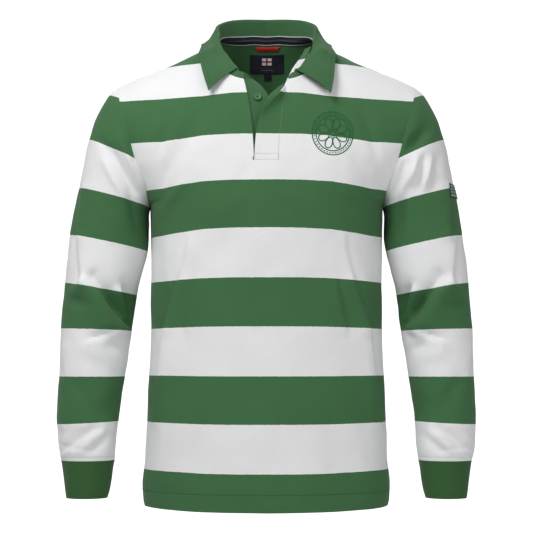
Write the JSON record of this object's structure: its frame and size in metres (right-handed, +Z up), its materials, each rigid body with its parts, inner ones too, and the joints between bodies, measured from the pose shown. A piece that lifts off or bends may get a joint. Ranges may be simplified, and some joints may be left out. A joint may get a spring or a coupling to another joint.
{
  "type": "hooped rugby shirt",
  "caption": "Long-sleeved green and white hooped rugby shirt with a turned-down collar and short placket, filled out as if worn.",
  "frame": {"origin": "middle of the neck opening, level with the tops of the shoulder seams, where a body or hanger holds the shirt", "axes": "+X to the wearer's left, +Y to the wearer's back, +Z up"},
  "size_m": [0.6654, 0.2578, 0.8009],
  "materials": {
    "striped_jersey": "matt knitted cotton in green and white hoops",
    "ribbing": "matt ribbed cotton",
    "green_twill": "matt cotton twill",
    "button": "moulded, slightly glossy",
    "tape": "woven tape",
    "ribbon": "woven ribbon with a slight sheen",
    "label": "woven label",
    "badge": "embroidered patch"
  },
  "bodies": {
    "root": {"front": "striped_jersey", "back": "striped_jersey", "sleeve_left": "striped_jersey", "sleeve_right": "striped_jersey", "cuff_left": "ribbing", "cuff_right": "ribbing", "collar": "green_twill", "placket_under": "green_twill", "placket_over": "striped_jersey", "placket_facing": "green_twill", "button": "button", "neck_tape": "tape", "hanger_loop": "ribbon", "label": "label", "size_tab": "label", "sleeve_badge": "badge"}
  },
  "joints": []
}
